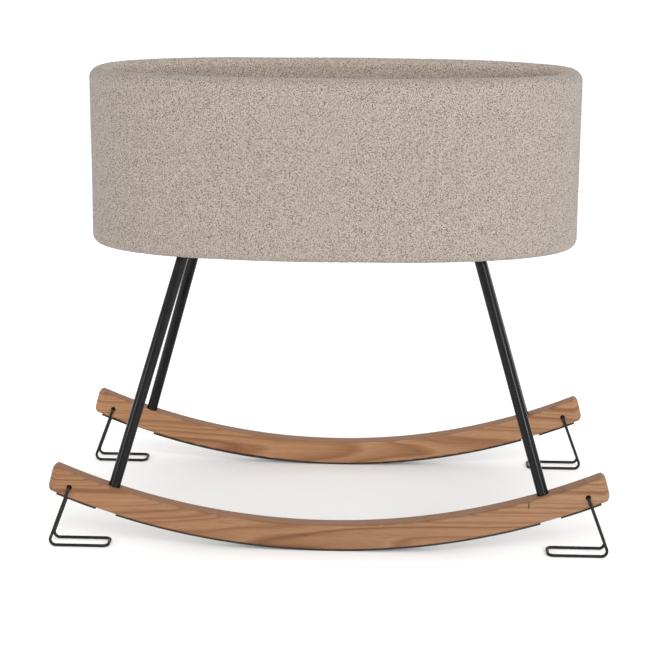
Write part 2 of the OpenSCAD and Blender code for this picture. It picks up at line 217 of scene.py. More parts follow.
def waves(points, size, seed, count=12):
    """Smooth unevenness between about -1 and 1 whose humps are about that size."""
    shortest, longest = 1.4, 2.8  # wavelengths, as shares of the size
    tallest = 1.6  # how far the sum goes, in standard deviations
    random = np.random.default_rng(seed)
    total = np.zeros(len(points))
    for _ in range(count):
        direction = random.normal(size=3)
        length = size * random.uniform(shortest, longest)
        direction *= 2 * math.pi / (length * np.linalg.norm(direction))
        total += np.sin(points @ direction + random.uniform(0, 2 * math.pi))
    return total / math.sqrt(count / 2) / tallest


# ---- Boucle ----


def nubs(u, v, length_u, pitch, seed):
    """The fabric's loops over a sheet that closes up along u.

    Returns for each point a height, from 0 in a pit to 1 on top of a loop, and the loop's tone.
    """
    margin, smallest = 0.07, 0.62  # room round a loop in its cell; its size against the biggest
    doming, crease_width, lowest = 0.75, 0.35, 0.35
    random = np.random.default_rng(seed)
    cells_u, cells_v = int(round(length_u / pitch)), int(v.max() / pitch) + 4
    seeds = random.random((cells_u, cells_v, 2)) * (1 - 2 * margin) + margin
    reach = random.uniform(smallest, 1.0, (cells_u, cells_v))
    tones = random.random((cells_u, cells_v))
    cu, cv = u / length_u * cells_u, v / pitch + 1.5
    iu, iv = np.floor(cu).astype(int), np.floor(cv).astype(int)
    nearest, second = np.full(u.shape, np.inf), np.full(u.shape, np.inf)
    tone = np.zeros(u.shape)
    for du in (-1, 0, 1):
        for dv in (-1, 0, 1):
            ku, kv = (iu + du) % cells_u, np.clip(iv + dv, 0, cells_v - 1)
            place = seeds[ku, kv]
            away = np.hypot(cu - iu - du - place[..., 0], cv - iv - dv - place[..., 1])
            away = away / reach[ku, kv]
            closer = away < nearest
            second = np.where(closer, nearest, np.minimum(second, away))
            tone = np.where(closer, tones[ku, kv], tone)
            nearest = np.where(closer, away, nearest)
    dome = np.clip(1 - nearest**2 * doming, 0, 1)
    crease = np.clip((second - nearest) / crease_width, 0, 1)
    return dome * (lowest + (1 - lowest) * crease), tone


def add_boucle(piece, rows, columns, step, seed):
    """Raises loops over the first rows of a swept piece, and keeps their height and tone."""
    mesh = piece.data
    points, outward = coordinates(mesh), normals(mesh)
    shown = rows * columns
    length_u = columns * step
    v, u = np.meshgrid(np.arange(rows) * step, np.arange(columns) * step, indexing="ij")
    place = points[:shown]
    bend, bend_size = 0.0011, 0.006
    buckle, buckle_size = 0.0004, 0.10
    sunk, flat_rows = 0.85, 3  # the loops' share below the surface; rows kept low at each edge
    u = u.ravel() + bend * waves(place, bend_size, seed + 1)
    v = v.ravel() + bend * waves(place, bend_size, seed + 2) + 2 * bend
    height, tone = nubs(u % length_u, v, length_u, LOOP_PITCH, seed)
    lift = PILE * (height - sunk) + buckle * waves(place, buckle_size, seed + 4)
    edge = np.minimum(np.arange(rows), np.arange(rows)[::-1]).repeat(columns)
    lift *= np.clip(edge / flat_rows, 0, 1)
    points[:shown] += outward[:shown] * lift[:, None]
    set_coordinates(mesh, points)
    filler = np.full(len(points) - shown, 0.5)
    store(mesh, "nub", np.r_[height, filler])
    store(mesh, "tone", np.r_[tone, filler])


def make_cover():
    """The outer cover: lip under the board, wall, rolled rim and the turn-down inside."""
    z = cover_low.z
    visible = (
        [(LIP, z), (BOTTOM_RADIUS + 0.002, z)]
        + arc(BOTTOM_RADIUS, z + BOTTOM_RADIUS, BOTTOM_RADIUS, 268, 180)
        + arc(RIM_RADIUS, RIM_Z, RIM_RADIUS, 180, 0, 40)
        + [(WALL, SEAM_Z + 0.004), (WALL - SEAM_TUCK, SEAM_Z + 0.0006)]
    )
    deep = FABRIC * COVER_DEPTH
    hidden = (
        [(WALL - deep, SEAM_Z)]
        + arc(RIM_RADIUS, RIM_Z, RIM_RADIUS - deep, 0, 180, 10)
        + arc(BOTTOM_RADIUS, z + BOTTOM_RADIUS, BOTTOM_RADIUS - deep, 180, 270, 6)
        + [(LIP, z + deep)]
    )
    section = even_section(visible, COVER_GRID)
    angles, length = even_angles(0, COVER_GRID)
    piece = swept("boucle_cover", np.concatenate([section, hidden]), angles)
    add_boucle(piece, len(section), len(angles), length / len(angles), seed=11)
    return piece


def make_lining():
    """The lining inside, from the board up to a tucked seam under the cover's turned-down edge."""
    gap = 0.0004
    top, bottom = SEAM_Z - gap, board_top
    visible = [
        (WALL - SEAM_TUCK, top),
        (WALL, top - 0.0036),
        (WALL, bottom + 0.003),
        (WALL - SEAM_TUCK, bottom + 0.0005),
    ]
    deep = FABRIC * LINING_DEPTH
    hidden = [(WALL - deep, bottom), (WALL - deep, top)]
    section = even_section(visible, LINING_GRID)
    angles, length = even_angles(WALL, LINING_GRID)
    piece = swept("boucle_lining", np.concatenate([section, hidden]), angles)
    add_boucle(piece, len(section), len(angles), length / len(angles), seed=47)
    return piece


# ---- Padding in the wall ----


def make_foam_ring(name, section, seed):
    """A foam layer with a slightly uneven surface, clear of what lies on each side of it."""
    gap, unevenness, dent_size = 0.0005, 0.0003, 0.02
    section_step, round_step = 0.006, 0.009
    section = even_section(section + section[:1], section_step)
    angles, _ = even_angles(WALL / 2, round_step)
    piece = swept(name, section[:-1], angles)
    points = coordinates(piece.data)
    inward = gap + unevenness * waves(points, dent_size, seed)
    points -= normals(piece.data) * inward[:, None]
    set_coordinates(piece.data, points)
    return piece


def rounded_band(outer, inner, low, high, radius=0.002):
    """A band's section with soft corners, from insets and heights."""
    return (
        arc(outer + radius, low + radius, radius, 270, 180, 4)
        + arc(outer + radius, high - radius, radius, 180, 90, 4)
        + arc(inner - radius, high - radius, radius, 90, 0, 4)
        + arc(inner - radius, low + radius, radius, 0, -90, 4)
    )


def make_padding():
    """The three foam layers round the plywood wall."""
    wall_inset = HALF_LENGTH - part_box("wall_panel_right")[1].x
    inner_inset = HALF_LENGTH - inner_foam_high.x
    lining_inset = HALF_LENGTH - lining_high.x
    raised = 0.010  # keeps the outer layer's foot clear of the cover's rounded bottom edge
    outer = rounded_band(FABRIC, wall_inset, foam_low.z + raised, RIM_Z)
    inner = rounded_band(inner_inset, lining_inset, inner_foam_low.z, RIM_Z)
    radius = RIM_RADIUS - FABRIC
    rim = arc(RIM_RADIUS, RIM_Z, radius, 180, 0, 16)
    return {
        "outer_padding": make_foam_ring("outer_foam", outer, 5),
        "inner_padding": make_foam_ring("inner_foam", inner, 6),
        "rim_padding": make_foam_ring("rim_foam", rim, 7),
    }


# ---- Cloths on and under the base board ----


def cut_plate_holes(piece):
    """Cuts a hole round each leg plate; gives the area of the four holes."""
    gap, radius, reach = 0.0006, 0.012, 0.02
    area = 0
    for corner in CORNERS:
        low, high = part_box(f"leg_plate_{corner}")
        middle = (low + high) / 2
        half_x = (high.x - low.x) / 2 + gap - radius
        half_y = (high.y - low.y) / 2 + gap - radius
        turns = np.radians(np.arange(0, 360, 10) + 5)
        x = middle.x + half_x * np.sign(np.cos(turns)) + radius * np.cos(turns)
        y = middle.y + half_y * np.sign(np.sin(turns)) + radius * np.sin(turns)
        heights = (low.z - reach, high.z + reach)
        cutter = ringed("cutter", [np.c_[x, y, np.full(len(x), z)] for z in heights])
        cut = piece.modifiers.new("cut", "BOOLEAN")
        cut.operation, cut.object = "DIFFERENCE", cutter
        settle(piece)
        bpy.data.objects.remove(cutter)
        area += 4 * (half_x + radius) * (half_y + radius) - (4 - math.pi) * radius**2
    return area


def make_board_cloth(name, node, low, thickness, raised):
    """A thin oval cloth, raised that much over each bolt; also its flat size and area."""
    rings, clear = 60, 0.0005
    bolt_reach, bolt_slope = 0.013, 0.005
    outline = HALF_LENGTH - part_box(node)[1].x + clear
    angles, _ = even_angles(outline, 0.006)
    edge = oval(outline, angles)
    flat = np.concatenate([edge * share for share in np.linspace(0.02, 1, rings)])
    lift = 0.00012 * waves(np.c_[flat, np.zeros(len(flat))], 0.05, 9)
    for x, y in fastener_places():
        away = np.hypot(flat[:, 0] - x, flat[:, 1] - y)
        lift += raised * np.clip((bolt_reach - away) / bolt_slope, 0, 1)
    lower = np.c_[flat, low + lift].reshape(rings, -1, 3)
    upper = lower[::-1] + [0, 0, thickness]
    piece = ringed(name, [*lower, *upper])
    x, y = edge.T
    area = 0.5 * abs(np.sum(x * np.roll(y, -1) - y * np.roll(x, -1)))
    return piece, (2 * edge[:, 1].max(), 2 * edge[:, 0].max()), area


# ---- Mattress ----


def plump(piece, voxel, pressure, most, pinned):
    """Remeshes a closed soft piece evenly and swells it as cloth, no point by more than most."""
    remesh = piece.modifiers.new("remesh", "REMESH")
    remesh.mode = "VOXEL"
    remesh.voxel_size = voxel
    settle(piece)
    rest = coordinates(piece.data)
    group = piece.vertex_groups.new(name="pinned")
    group.add([int(i) for i in np.nonzero(pinned(rest))[0]], 1.0, "REPLACE")
    cloth = piece.modifiers.new("cloth", "CLOTH")
    cloth.settings.use_pressure = True
    cloth.settings.uniform_pressure_force = pressure
    cloth.settings.effector_weights.gravity = 0
    cloth.settings.vertex_group_mass = "pinned"
    cloth.settings.quality = 5
    scene = bpy.context.scene
    for step in range(1, CLOTH_STEPS + 1):
        scene.frame_set(step)
    settle(piece)
    scene.frame_set(1)
    moved = coordinates(piece.data) - rest
    far = np.linalg.norm(moved, axis=1, keepdims=True)
    set_coordinates(piece.data, rest + moved * np.minimum(1, most / np.maximum(far, 1e-9)))
    even = piece.modifiers.new("even", "SMOOTH")
    even.factor, even.iterations = 0.5, 10
    smooth = piece.modifiers.new("fine", "SUBSURF")
    smooth.levels = smooth.render_levels = 1
    settle(piece)
    piece.vertex_groups.clear()
    piece.data.shade_smooth()


def settle(piece):
    """Makes what the modifiers show the piece's own mesh."""
    seen = piece.evaluated_get(bpy.context.evaluated_depsgraph_get())
    mesh = bpy.data.meshes.new_from_object(seen)
    piece.modifiers.clear()
    piece.data = mesh


def mattress_oval(points):
    """How far out each point lies: 1 on the mattress's outline, less inside it."""
    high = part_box("mattress_cover")[1]
    x = np.abs(points[:, 0]) / high.x
    y = np.abs(points[:, 1]) / high.y
    return (x**OVAL_EXPONENT + y**OVAL_EXPONENT) ** (1 / OVAL_EXPONENT)


def make_slab(name, inset, low, high, radius):
    """A closed oval slab with rounded edges."""
    angles, _ = even_angles(inset, 0.01)
    face = oval(inset + radius, angles)
    shares = np.linspace(0.05, 0.95, 19)
    section = (
        arc(inset + radius, low + radius, radius, 270, 180, 6)
        + arc(inset + radius, high - radius, radius, 180, 90, 6)
    )
    below = [np.c_[face * share, np.full(len(face), low)] for share in shares]
    above = [np.c_[face * share, np.full(len(face), high)] for share in shares[::-1]]
    side = [np.c_[oval(i, angles), np.full(len(angles), z)] for i, z in section]
    return ringed(name, below + side + above)


def reach_outline(points):
    """Moves the side of the cover out to the mattress's outline, all the way round."""
    sectors, wanted = 96, 0.996
    still, blend = 0.75, 0.22  # nothing inside this share moves, and the rest eases in
    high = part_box("mattress_cover")[1]
    angle = np.arctan2(points[:, 1] / high.y, points[:, 0] / high.x)
    over = mattress_oval(points)
    edges = np.linspace(-math.pi, math.pi, sectors + 1)
    sector = np.clip(np.digitize(angle, edges) - 1, 0, sectors - 1)
    furthest = np.array([over[sector == k].max() for k in range(sectors)])
    reach = np.interp(angle, (edges[1:] + edges[:-1]) / 2, furthest, period=2 * math.pi)
    share = np.clip((over / reach - still) / blend, 0, 1)
    points[:, :2] *= 1 + ((wanted / reach - 1) * share)[:, None]


def make_mattress():
    """The foam core and its quilted cover, plumped and then sewn in diamonds."""
    low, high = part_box("mattress_cover")
    core_low, core_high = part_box("mattress_core")
    inset = HALF_LENGTH - high.x
    swell, pinned_height = 0.006, 0.004
    cover = make_slab("mattress_cover_quilted", inset=inset + swell, low=low.z,
                      high=high.z - swell, radius=0.012)
    plump(cover, voxel=0.0055, pressure=4, most=swell,
          pinned=lambda p: p[:, 2] < low.z + pinned_height)
    points = coordinates(cover.data)
    reach_outline(points)
    outward = normals(cover.data)
    over = mattress_oval(points)
    top = np.clip((outward[:, 2] - 0.55) / 0.3, 0, 1) * np.clip((0.93 - over) / 0.04, 0, 1)
    a = (points[:, 0] + points[:, 1] * QUILT_SLANT) / QUILT
    b = (points[:, 0] - points[:, 1] * QUILT_SLANT) / QUILT
    square = 0.62  # turns a distance along x into one square to a sewn line
    line = np.minimum(np.abs(a - np.round(a)), np.abs(b - np.round(b))) * QUILT * square
    channel = np.exp(-((line / CHANNEL_WIDTH) ** 2))
    puff = np.sqrt(np.clip(np.abs(np.sin(math.pi * a) * np.sin(math.pi * b)), 0, 1))
    lift = top * (PUFF * puff - CHANNEL_DEPTH * channel)
    rumple, rumple_size = 0.0005, 0.05
    lift += rumple * waves(points, rumple_size, 21)
    points += outward * lift[:, None]
    points[:, 2] = np.clip(points[:, 2], low.z, high.z)
    outside = np.maximum(mattress_oval(points), 1)
    points[:, :2] /= outside[:, None]
    set_coordinates(cover.data, points)
    store(cover.data, "stitch_shade", channel * top)
    core_inset = HALF_LENGTH - core_high.x
    core = make_slab("mattress_foam", inset=core_inset + 0.009, low=core_low.z,
                     high=core_high.z - 0.012, radius=0.006)
    plump(core, voxel=0.009, pressure=2, most=0.002,
          pinned=lambda p: p[:, 2] < core_low.z + pinned_height)
    heights = {"upper": high.z - 0.013, "lower": low.z + 0.009}
    piping = [make_piping(f"mattress_piping_{name}", inset, z) for name, z in heights.items()]
    return cover, core, piping


def make_piping(name, inset, z):
    """A sewn cord round the mattress's side; a mesh tube with a fine twist."""
    radius, sides, strands, strand_depth = PIPING_RADIUS, 10, 3, 0.10
    angles, length = even_angles(inset + radius, 0.0035)
    line = np.c_[oval(inset + radius + 0.0002, angles), np.full(len(angles), z)]
    ahead = np.roll(line, -1, axis=0) - np.roll(line, 1, axis=0)
    ahead /= np.linalg.norm(ahead, axis=1, keepdims=True)
    out = np.cross(ahead, [0, 0, 1])
    turns = np.arange(len(line)) / len(line) * 2 * math.pi * round(length / PIPING_TWIST)
    rings = []
    for k in range(sides):
        t = 2 * math.pi * k / sides
        r = radius * (1 + strand_depth * np.cos(strands * t + turns))[:, None]
        rings.append(line + out * (r * math.cos(t)) + [0, 0, 1] * (r * math.sin(t)))
    quads = sweep_quads(sides, len(line), True)
    return quad_mesh(name, np.concatenate(rings), quads)


# ---- Materials ----


def add(tree, kind, inputs=(), **settings):
    """A new node; each of its inputs takes a number, a colour or another node's output."""
    made = tree.nodes.new("ShaderNode" + kind)
    for key, value in settings.items():
        setattr(made, key, value)
    for key, value in dict(inputs).items():
        if isinstance(value, bpy.types.NodeSocket):
            tree.links.new(value, made.inputs[key])
        else:
            made.inputs[key].default_value = value
    return made


def new_material(name, sockets):
    """A Principled material with these socket values; also its tree and its shader."""
    made = bpy.data.materials.new(name)
    made.use_nodes = True
    shader = made.node_tree.nodes["Principled BSDF"]
    for key, value in sockets.items():
        shader.inputs[key].default_value = value
    return made, made.node_tree, shader


def maths(tree, operation, a, b=0.0, c=0.0, clamp=False):
    made = add(tree, "Math", {0: a, 1: b, 2: c}, operation=operation, use_clamp=clamp)
    return made.outputs[0]


def ramp(tree, factor, *stops):
    """Colours along a factor; each stop is a place and a linear colour or grey."""
    made = add(tree, "ValToRGB", {"Fac": factor})
    elements = made.color_ramp.elements
    elements[0].position, elements[1].position = stops[0][0], stops[-1][0]
    for place, _ in stops[1:-1]:
        elements.new(place)
    for element, (_, colour) in zip(elements, stops):
        colour = colour if isinstance(colour, tuple) else (colour,) * 3
        element.color = (*colour, 1)
    return made.outputs["Color"]


def mixed(tree, blend, factor, a, b):
    """Mixes two colours. A factor is a number or an output."""
    made = tree.nodes.new("ShaderNodeMix")
    made.data_type, made.blend_type = "RGBA", blend
    for index, value in ((0, factor), (6, a), (7, b)):
        if isinstance(value, bpy.types.NodeSocket):
            tree.links.new(value, made.inputs[index])
        else:
            made.inputs[index].default_value = value if index == 0 else (*value, 1)
    return made.outputs[2]


def position(tree, stretch=(1, 1, 1), shift=(0, 0, 0)):
    """Object coordinates in metres, stretched so that a pattern is finer along some axes."""
    where = add(tree, "TexCoord").outputs["Object"]
    return add(tree, "Mapping", {"Vector": where, "Scale": stretch, "Location": shift}).outputs[0]


def noise(tree, where, scale, detail=2.0, rough=0.5):
    made = add(tree, "TexNoise", {"Vector": where, "Scale": scale, "Detail": detail,
                                  "Roughness": rough})
    return made.outputs["Fac"]


def bump(tree, shader, height, strength, distance, under=None):
    """Adds relief to a shader, over any relief under it."""
    inputs = {"Height": height, "Strength": strength, "Distance": distance}
    if under is not None:
        inputs["Normal"] = under
    made = add(tree, "Bump", inputs).outputs["Normal"]
    tree.links.new(made, shader.inputs["Normal"])
    return made


def boucle_material(name, tint, inward_painted_light, gap_shade_contrast):
    """Looped fabric: small curls with painted shade in the gaps between them, and a fine fuzz over
    them.

    The side that faces into the basket has its own tint: painted light, which makes that side
    lighter than the outside.
    """
    curls, bends, fibres = 740.0, 560.0, 1500  # per metre
    middle = 0.62  # the height that contrast leaves as it is
    made, tree, shader = new_material(name, {
        "Roughness": 0.95, "Specular IOR Level": 0.12, "Sheen Weight": 0.25,
        "Sheen Roughness": 0.6, "Sheen Tint": (0.86, 0.86, 0.86, 1)})
    nub = add(tree, "Attribute", attribute_name="nub").outputs["Fac"]
    tone = add(tree, "Attribute", attribute_name="tone").outputs["Fac"]
    where = position(tree)
    stir = add(tree, "TexNoise", {"Vector": where, "Scale": bends, "Detail": 1.0}).outputs["Color"]
    offset = add(tree, "VectorMath", {0: stir, "Scale": 0.0012}, operation="SCALE").outputs[0]
    stirred = add(tree, "VectorMath", {0: where, 1: offset}, operation="ADD").outputs[0]
    away = add(tree, "TexVoronoi", {"Vector": stirred, "Scale": curls}).outputs["Distance"]
    curl = ramp(tree, away, (0.18, 1.0), (0.50, 0.62), (0.85, 0.0))
    fuzz = noise(tree, where, fibres, 2, 0.65)
    drift = noise(tree, where, 2.3, 1, 0.5)
    # painted shade: the colour darkens from the loops' tops down into the gaps between them
    height = maths(tree, "MULTIPLY_ADD", curl, 0.84, maths(tree, "MULTIPLY", nub, 0.16))
    height = maths(tree, "SUBTRACT", height, middle)
    height = maths(tree, "MULTIPLY_ADD", height, gap_shade_contrast, middle)
    base = ramp(tree, height, (0.10, (0.140, 0.110, 0.086)), (middle, (0.452, 0.393, 0.338)),
                (1.0, (0.690, 0.628, 0.565)))
    base = mixed(tree, "MULTIPLY", 0.05, base, ramp(tree, tone, (0.0, 0.60), (1.0, 1.0)))
    base = mixed(tree, "MULTIPLY", 0.45, base, ramp(tree, fuzz, (0.32, 0.45), (0.62, 1.0)))
    base = mixed(tree, "MULTIPLY", 0.5, base,
                 ramp(tree, drift, (0.35, (1.0, 0.965, 0.93)), (0.65, (1.0, 1.0, 1.0))))
    # painted light: a mask of the side that faces into the basket, which gets the lighter inward
    # tint
    radial = position(tree, (1 / HALF_LENGTH**2, 1 / HALF_WIDTH**2, 0))
    radial = add(tree, "VectorMath", {0: radial}, operation="NORMALIZE").outputs[0]
    normal = add(tree, "NewGeometry").outputs["Normal"]
    facing = add(tree, "VectorMath", {0: radial, 1: normal},
                 operation="DOT_PRODUCT").outputs["Value"]
    inward = ramp(tree, maths(tree, "MULTIPLY_ADD", facing, -0.5, 0.5), (0.45, 0.0), (0.85, 1.0))
    base = mixed(tree, "MULTIPLY", 1.0, base, mixed(tree, "MIX", inward, tint, inward_painted_light))
    tree.links.new(base, shader.inputs["Base Color"])
    under = bump(tree, shader, curl, 0.55, 0.0011)
    bump(tree, shader, fuzz, 0.35, 0.0005, under)
    return made


def ash_material(name, pith_y, pith_z, slope, seed, tint_and_painted_light, flecks=()):
    """Oiled ash sawn along the trunk: rings round a pith that runs nearly along the rocker.

    The tint_and_painted_light is a colour for each end, left and right: the wood's own tint
    together with painted light and shade, so that one end reads lighter or warmer than the other.
    A fleck is a dark mark: its middle, its radii and its strength.
    """
    made, tree, shader = new_material(name, {"Specular IOR Level": 0.24})
    ring_width = 0.0080
    x, y, z = add(tree, "SeparateXYZ", {"Vector": position(tree)}).outputs
    wander = add(tree, "TexNoise", {"Vector": position(tree, (1, 2.2, 2.2), (seed, 0, 0)),
                                    "Scale": 3.2, "Detail": 2.5, "Roughness": 0.45})
    drift = add(tree, "SeparateXYZ", {"Vector": wander.outputs["Color"]})
    y = maths(tree, "MULTIPLY_ADD", x, slope, maths(tree, "SUBTRACT", y, pith_y))
    y = maths(tree, "MULTIPLY_ADD", drift.outputs[0], 0.016, y)
    z = maths(tree, "MULTIPLY_ADD", drift.outputs[1], 0.022, maths(tree, "SUBTRACT", z, pith_z))
    radius = maths(tree, "SQRT", maths(tree, "MULTIPLY_ADD", y, y, maths(tree, "MULTIPLY", z, z)))
    ring = maths(tree, "DIVIDE", radius, ring_width)
    uneven = add(tree, "TexNoise", {"W": maths(tree, "ADD", radius, seed), "Scale": 62.0,
                                    "Detail": 1.0}, noise_dimensions="1D").outputs["Fac"]
    ring = maths(tree, "MULTIPLY_ADD", uneven, 2.2, ring)
    ripple = noise(tree, position(tree, (7, 60, 60), (0, seed, 0)), 1.0, 3, 0.6)
    ring = maths(tree, "MULTIPLY_ADD", ripple, 0.75, ring)
    share = maths(tree, "FRACT", ring)
    number = maths(tree, "FLOOR", ring)
    lot = add(tree, "TexWhiteNoise", {"W": number}, noise_dimensions="1D").outputs["Value"]
    grain = ramp(tree, share, (0.0, 0.0), (0.15, 0.12), (0.45, 0.36), (0.72, 0.95), (1.0, 0.05))
    depth = maths(tree, "MULTIPLY_ADD", lot, 0.75, 0.20)
    latewood = maths(tree, "MULTIPLY", grain, depth)
    base = ramp(tree, latewood, (0.0, (0.460, 0.256, 0.138)), (0.30, (0.375, 0.190, 0.094)),
                (1.0, (0.205, 0.080, 0.034)))
    fine = position(tree, (14, 900, 900), (seed, 0, 0))
    streaks = noise(tree, fine, 1.0, 2, 0.6)
    broad = noise(tree, position(tree, (3, 90, 90), (seed, 2, 0)), 1.0, 3, 0.55)
    pores = noise(tree, position(tree, (45, 1500, 1500), (0, 0, seed)), 1.0, 1, 0.5)
    early = maths(tree, "SUBTRACT", 1.0, maths(tree, "MULTIPLY", share, 1.6), clamp=True)
    pore = maths(tree, "MULTIPLY", ramp(tree, pores, (0.60, 0.0), (0.68, 1.0)), early)
    base = mixed(tree, "MULTIPLY", 0.32, base, ramp(tree, streaks, (0.35, 0.62), (0.62, 1.0)))
    base = mixed(tree, "MULTIPLY", 0.40, base, ramp(tree, broad, (0.32, 0.70), (0.66, 1.0)))
    base = mixed(tree, "MIX", maths(tree, "MULTIPLY", pore, 0.55), base, (0.150, 0.065, 0.032))
    knots = add(tree, "TexVoronoi", {"Vector": position(tree, (9, 40, 26), (seed, 0.3, 0)),
                                     "Scale": 1.0}).outputs["Distance"]
    knot = ramp(tree, knots, (0.030, 1.0), (0.075, 0.0))
    base = mixed(tree, "MIX", maths(tree, "MULTIPLY", knot, 0.8), base, (0.085, 0.036, 0.020))
    # painted light and shade: the colour runs from one end's tint to the other's
    along = maths(tree, "MULTIPLY_ADD", x, 1.1, 0.5, clamp=True)
    base = mixed(tree, "MULTIPLY", 1.0, base, ramp(tree, along, (0.0, tint_and_painted_light[0]), (1.0, tint_and_painted_light[1])))
    for middle, radii, strength in flecks:
        stretch = [1 / r for r in radii]
        inside = position(tree, stretch, [-m / r for m, r in zip(middle, radii)])
        away = add(tree, "VectorMath", {0: inside}, operation="LENGTH").outputs["Value"]
        fleck = maths(tree, "MULTIPLY", ramp(tree, away, (0.55, 1.0), (1.0, 0.0)), strength)
        base = mixed(tree, "MIX", fleck, base, (0.060, 0.024, 0.014))
    # painted shade: faces that look up, the rockers' tops, get a darker brown for the shade under
    # the basket
    up = add(tree, "SeparateXYZ", {"Vector": add(tree, "NewGeometry").outputs["Normal"]})
    top_painted_shade = ramp(tree, up.outputs[2], (0.55, 0.0), (0.92, 1.0))
    top_painted_shade = maths(tree, "MULTIPLY", top_painted_shade, 0.75)
    base = mixed(tree, "MIX", top_painted_shade, base, (0.215, 0.098, 0.046))
    tree.links.new(base, shader.inputs["Base Color"])
    rough = ramp(tree, streaks, (0.3, 0.52), (0.7, 0.40))
    tree.links.new(rough, shader.inputs["Roughness"])
    relief = maths(tree, "SUBTRACT", maths(tree, "MULTIPLY", streaks, 0.5), pore)
    under = bump(tree, shader, relief, 0.35, 0.0003)
    bump(tree, shader, broad, 0.15, 0.0008, under)
    return made


def powder_coat(name, roughness, dark, pale):
    """Black satin powder coat: a fine orange peel, and a little dust in soft patches."""
    made, tree, shader = new_material(name, {"Specular IOR Level": 0.20})
    where = position(tree)
    peel = noise(tree, where, 900, 2, 0.55)
    dust = noise(tree, where, 45, 3, 0.6)
    base = ramp(tree, dust, (0.35, dark), (0.7, pale))
    tree.links.new(base, shader.inputs["Base Color"])
    rough = ramp(tree, dust, (0.3, roughness - 0.05), (0.7, roughness + 0.06))
    tree.links.new(rough, shader.inputs["Roughness"])
    bump(tree, shader, peel, 0.06, 0.0003)
    return made


def zinc_material():
    """Bright zinc plate, a little cloudy and lightly scratched."""
    made, tree, shader = new_material("zinc", {"Metallic": 1.0})
    where = position(tree)
    cloud = noise(tree, where, 120, 3, 0.6)
    scratches = noise(tree, position(tree, (60, 900, 900)), 1.0, 2, 0.6)
    base = ramp(tree, cloud, (0.3, (0.50, 0.50, 0.49)), (0.7, (0.68, 0.68, 0.66)))
    tree.links.new(base, shader.inputs["Base Color"])
    rough = ramp(tree, scratches, (0.3, 0.30), (0.7, 0.50))
    tree.links.new(rough, shader.inputs["Roughness"])
    bump(tree, shader, scratches, 0.12, 0.0002)
    return made


def plywood_material():
    """Raw birch plywood: soft flame on its faces and thin plies on its edges."""
    made, tree, shader = new_material("birch_ply", {"Roughness": 0.62, "Specular IOR Level": 0.3})
    where = position(tree)
    flame = noise(tree, position(tree, (4, 60, 26)), 1.0, 4, 0.55)
    fibres = noise(tree, position(tree, (30, 1100, 700)), 1.0, 2, 0.6)
    plies = add(tree, "TexWave", {"Vector": where, "Scale": 112.0, "Distortion": 0.4,
                                  "Detail": 1.0, "Detail Scale": 30.0},
                wave_type="BANDS", bands_direction="Z").outputs["Fac"]
    face = add(tree, "SeparateXYZ", {"Vector": add(tree, "NewGeometry").outputs["Normal"]})
    upright = maths(tree, "SUBTRACT", 1.0, maths(tree, "ABSOLUTE", face.outputs[2]), clamp=True)
    base = ramp(tree, flame, (0.30, (0.52, 0.385, 0.235)), (0.70, (0.67, 0.53, 0.36)))
    base = mixed(tree, "MULTIPLY", 0.3, base, ramp(tree, fibres, (0.35, 0.72), (0.6, 1.0)))
    edge = mixed(tree, "MULTIPLY", 0.55, base, ramp(tree, plies, (0.42, 0.55), (0.58, 1.0)))
    base = mixed(tree, "MIX", maths(tree, "MULTIPLY", upright, 0.8), base, edge)
    tree.links.new(base, shader.inputs["Base Color"])
    bump(tree, shader, fibres, 0.3, 0.0003)
    return made


def foam_material():
    """Cream upholstery foam with small open cells."""
    made, tree, shader = new_material("foam", {"Roughness": 0.95, "Specular IOR Level": 0.1})
    where = position(tree)
    cells = add(tree, "TexVoronoi", {"Vector": where, "Scale": 900.0}).outputs["Distance"]
    patches = noise(tree, where, 18, 3, 0.5)
    # painted shade: the open cells are darker than the foam between them
    base = ramp(tree, cells, (0.15, (0.48, 0.44, 0.31)), (0.55, (0.78, 0.73, 0.56)))
    base = mixed(tree, "MULTIPLY", 0.3, base, ramp(tree, patches, (0.35, 0.82), (0.65, 1.0)))
    tree.links.new(base, shader.inputs["Base Color"])
    bump(tree, shader, cells, 0.6, 0.0006)
    return made


def cotton_material(name, pale, dark, threads):
    """Plain woven cotton, with painted shade in its stitched channels where it has any."""
    made, tree, shader = new_material(name, {
        "Roughness": 0.88, "Specular IOR Level": 0.2, "Sheen Weight": 0.2, "Sheen Roughness": 0.5})
    where = position(tree)
    warp, weft = (
        add(tree, "TexWave", {"Vector": where, "Scale": threads, "Distortion": 2.5,
                              "Detail": 1.0, "Detail Scale": 40.0}, bands_direction=axis)
        for axis in "XY")
    weave = maths(tree, "MULTIPLY", warp.outputs["Fac"], weft.outputs["Fac"])
    slub = noise(tree, position(tree, (8, 260, 8)), 1.0, 2, 0.6)
    stitch_shade = add(tree, "Attribute", attribute_name="stitch_shade").outputs["Fac"]
    base = ramp(tree, weave, (0.0, dark), (0.6, pale))
    base = mixed(tree, "MULTIPLY", 0.25, base, ramp(tree, slub, (0.35, 0.80), (0.6, 1.0)))
    # painted shade: the sewn channels are darkened
    base = mixed(tree, "MULTIPLY", maths(tree, "MULTIPLY", stitch_shade, 0.5), base, (0.62, 0.58, 0.53))
    tree.links.new(base, shader.inputs["Base Color"])
    under = bump(tree, shader, weave, 0.15, 0.0003)
    bump(tree, shader, noise(tree, where, 30, 3, 0.5), 0.3, 0.0012, under)
    return made


def grip_material():
    """Matt dark anti-slip strip with a fine pebbled face."""
    made, tree, shader = new_material("grip_strip", {"Specular IOR Level": 0.25})
    where = position(tree)
    pebbles = add(tree, "TexVoronoi", {"Vector": where, "Scale": 650.0}).outputs["Distance"]
    dust = noise(tree, where, 60, 3, 0.6)
    base = ramp(tree, dust, (0.3, (0.022, 0.018, 0.016)), (0.7, (0.050, 0.042, 0.037)))
    tree.links.new(base, shader.inputs["Base Color"])
    tree.links.new(ramp(tree, dust, (0.3, 0.80), (0.7, 0.95)), shader.inputs["Roughness"])
    bump(tree, shader, pebbles, 0.5, 0.0005)
    return made


